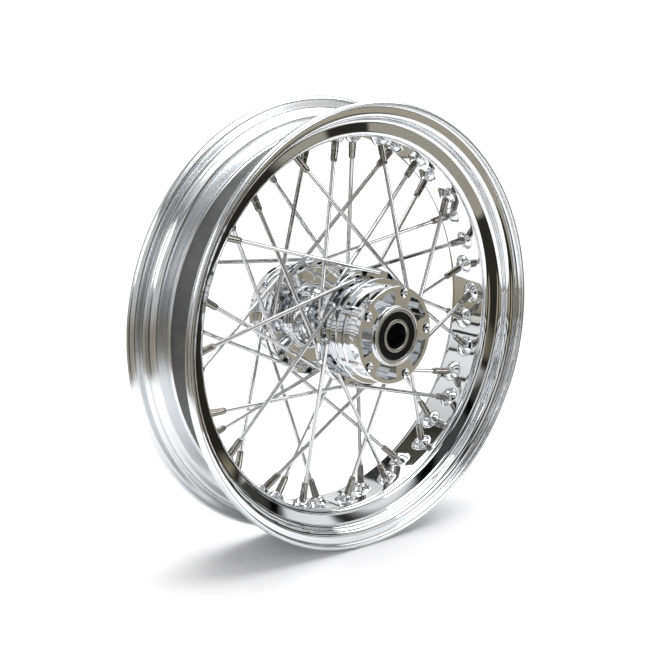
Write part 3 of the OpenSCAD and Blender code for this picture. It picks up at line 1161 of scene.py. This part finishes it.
class WHEEL_OT_spacer(bpy.types.Operator):
    """Turns the tube between the bearings' inner rings"""

    bl_idname = "wheel.spacer"
    bl_label = "Spacer"

    def execute(self, context):
        bore = BORE_R + 0.5
        corners = [
            (SPACER_R, -SPACER_HALF_W, 0.4),
            (SPACER_R, SPACER_HALF_W, 0.4),
            (bore, SPACER_HALF_W, 0.4),
            (bore, -SPACER_HALF_W, 0.4),
        ]
        outline = rounded(corners + corners[:1], 3)[:-1]
        piece = make_object("spacer_tube", turned(outline, 96))
        dress(piece, "drawn_spacer_steel", "spacer_steel", "axle_set", "bearing_spacer")
        return {"FINISHED"}


# --- Stage ----------------------------------------------------------------


class WHEEL_OT_stage(bpy.types.Operator):
    """Lays the floor, hangs the lights and sets the camera"""

    bl_idname = "wheel.stage"
    bl_label = "Stage"

    def execute(self, context):
        self.floor()
        self.surround()
        self.lights()
        self.camera()
        context.scene.view_settings.view_transform = "Standard"
        return {"FINISHED"}

    @staticmethod
    def floor():
        shape = bmesh.new()
        bmesh.ops.create_circle(
            shape,
            cap_ends=True,
            segments=128,
            radius=0.56,
            matrix=Matrix.Translation((0, 0, CAD_BOX[0].z)),
        )
        floor = make_object("studio_floor", shape)
        floor.data.materials.append(finish("matt_studio_floor"))

    @staticmethod
    def surround():
        """A white sweep behind, and a plain room with a few flags for the chrome to mirror."""
        world = bpy.data.worlds.new("studio")
        bpy.context.scene.world = world
        world.use_nodes = True
        tree = world.node_tree
        tree.nodes.clear()
        toward = add(tree, "ShaderNodeTexCoord").outputs["Generated"]
        axes = add(tree, "ShaderNodeSeparateXYZ", {"Vector": toward})
        height = ramp(tree, axes.outputs["Z"], 0.0, 1.0, -1.0, 1.0)
        bands = add(tree, "ShaderNodeValToRGB", {"Fac": height})
        stops = bands.color_ramp
        stops.elements[0].position = 0.0
        stops.elements[0].color = linear("#B9B8B4")
        stops.elements[1].position = 1.0
        stops.elements[1].color = linear("#FFFFFF")
        for position, colour in (
            (0.30, "#A8A294"),
            (0.355, "#B3AC9C"),
            (0.43, "#A39B88"),
            (0.455, "#8B8370"),
            (0.459, "#14120D"),
            (0.464, "#1E1B14"),
            (0.469, "#E9E7E2"),
            (0.491, "#DAD7CF"),
            (0.495, "#0B0A08"),
            (0.503, "#0B0A08"),
            (0.508, "#F2F2F2"),
            (0.535, "#FFFFFF"),
            (0.539, "#1B1915"),
            (0.546, "#28251D"),
            (0.550, "#FFFFFF"),
            (0.605, "#E4E4E3"),
            (0.611, "#15140F"),
            (0.618, "#3B372C"),
            (0.622, "#FFFFFF"),
            (0.700, "#F4F4F4"),
            (0.706, "#211F19"),
            (0.714, "#4C483C"),
            (0.719, "#FFFFFF"),
            (0.830, "#DDDDDC"),
            (0.840, "#2A2822"),
            (0.875, "#5F5C53"),
            (0.885, "#FFFFFF"),
        ):
            stop = stops.elements.new(position)
            stop.color = linear(colour)
        around = add(
            tree,
            "ShaderNodeMath",
            {0: axes.outputs["Y"], 1: axes.outputs["X"]},
            operation="ARCTAN2",
        ).outputs[0]

        def bars(value, span, pitch, phase, dark, start, end):
            """Dark bars at even steps of a value that runs from -span to span."""
            low, high = phase - pitch * span, phase + pitch * span
            wave = add(
                tree,
                "ShaderNodeMath",
                {0: ramp(tree, value, low, high, -span, span)},
                operation="SINE",
            )
            return ramp(tree, wave.outputs[0], 1.0, dark, start, end)

        flags = bars(around, math.pi, 4, math.radians(165.6), 0.06, 0.76, 0.84)
        rings = bars(axes.outputs["Y"], 1.0, 17.5, 5.03, 0.07, 0.70, 0.79)
        shade = add(
            tree, "ShaderNodeMath", {0: flags, 1: rings}, operation="MULTIPLY"
        ).outputs[0]
        dimmed = add(tree, "ShaderNodeVectorMath", {0: bands.outputs["Color"]}, operation="SCALE")
        tree.links.new(shade, dimmed.inputs["Scale"])
        room = add(
            tree, "ShaderNodeBackground", {"Color": dimmed.outputs[0], "Strength": 0.95}
        )
        sweep = add(tree, "ShaderNodeBackground", {"Color": linear("#FFFFFF"), "Strength": 1.15})
        seen = add(tree, "ShaderNodeLightPath").outputs["Is Camera Ray"]
        both = add(tree, "ShaderNodeMixShader", {"Fac": seen})
        tree.links.new(room.outputs[0], both.inputs[1])
        tree.links.new(sweep.outputs[0], both.inputs[2])
        add(tree, "ShaderNodeOutputWorld", {"Surface": both.outputs[0]})

    @staticmethod
    def lights():
        for name, kind, spot, size, power in (
            ("overhead_sun", "SUN", (0.30, 0.12, 1.0), 1.3, 3.1),
            ("side_box", "AREA", (-2.2, 0.9, 1.2), 1.2, 14),
            ("front_box", "AREA", (1.1, -2.4, 0.9), 0.8, 9),
        ):
            data = bpy.data.lights.new(name, kind)
            if kind == "SUN":
                data.angle = size
            else:
                data.shape = "SQUARE"
                data.size = size
            data.energy = power
            lamp = bpy.data.objects.new(name, data)
            lamp.location = spot
            lamp.rotation_mode = "QUATERNION"
            lamp.rotation_quaternion = Vector(spot).to_track_quat("Z", "Y")
            bpy.context.scene.collection.objects.link(lamp)

    @staticmethod
    def camera():
        around, above, away = math.radians(-41.14), math.radians(12.37), 1.6445
        back = Vector(
            (
                math.sin(around) * math.cos(above),
                -math.cos(around) * math.cos(above),
                math.sin(above),
            )
        )
        right = (-back).cross(Vector((0, 0, 1))).normalized()
        up = right.cross(-back)
        data = bpy.data.cameras.new("studio_camera")
        data.sensor_width = 36
        data.lens = 93.35
        data.clip_end = 60
        camera = bpy.data.objects.new("studio_camera", data)
        camera.location = back * away - right * 0.01263 - up * 0.00319
        camera.rotation_mode = "QUATERNION"
        camera.rotation_quaternion = (-back).to_track_quat("-Z", "Y")
        bpy.context.scene.collection.objects.link(camera)
        bpy.context.scene.camera = camera


# --- Registration ---------------------------------------------------------


class LacedWheel(bpy.types.PropertyGroup):
    """Everything that can be set on the wheel."""

    rim: bpy.props.PointerProperty(type=RimSettings)
    lacing: bpy.props.PointerProperty(type=LacingSettings)
    hub: bpy.props.PointerProperty(type=HubSettings)
    look: bpy.props.PointerProperty(type=LookSettings)


OPERATORS = (
    WHEEL_OT_rim,
    WHEEL_OT_rim_strip,
    WHEEL_OT_hub,
    WHEEL_OT_spokes,
    WHEEL_OT_nipples,
    WHEEL_OT_bearings,
    WHEEL_OT_spacer,
    WHEEL_OT_stage,
)


class WHEEL_PT_panel(bpy.types.Panel):
    bl_idname = "WHEEL_PT_panel"
    bl_label = "Laced Wheel"
    bl_space_type = "VIEW_3D"
    bl_region_type = "UI"
    bl_category = "Wheel"

    def draw(self, context):
        for group in ("rim", "lacing", "hub", "look"):
            box = self.layout.box()
            box.label(text=group.capitalize())
            values = getattr(context.scene.laced_wheel, group)
            for name in values.__annotations__:
                box.prop(values, name)
        for operator in OPERATORS:
            self.layout.operator(operator.bl_idname)


GROUPS = (RimSettings, LacingSettings, HubSettings, LookSettings, LacedWheel)


def register():
    for kind in (*GROUPS, *OPERATORS, WHEEL_PT_panel):
        bpy.utils.register_class(kind)
    bpy.types.Scene.laced_wheel = bpy.props.PointerProperty(type=LacedWheel)


def unregister():
    del bpy.types.Scene.laced_wheel
    for kind in reversed((*GROUPS, *OPERATORS, WHEEL_PT_panel)):
        bpy.utils.unregister_class(kind)


def main():
    register()
    bpy.ops.wheel.rim()
    bpy.ops.wheel.rim_strip()
    bpy.ops.wheel.hub()
    bpy.ops.wheel.spokes()
    bpy.ops.wheel.nipples()
    bpy.ops.wheel.bearings()
    bpy.ops.wheel.spacer()
    bpy.ops.wheel.stage()


if __name__ == "__main__":
    main()
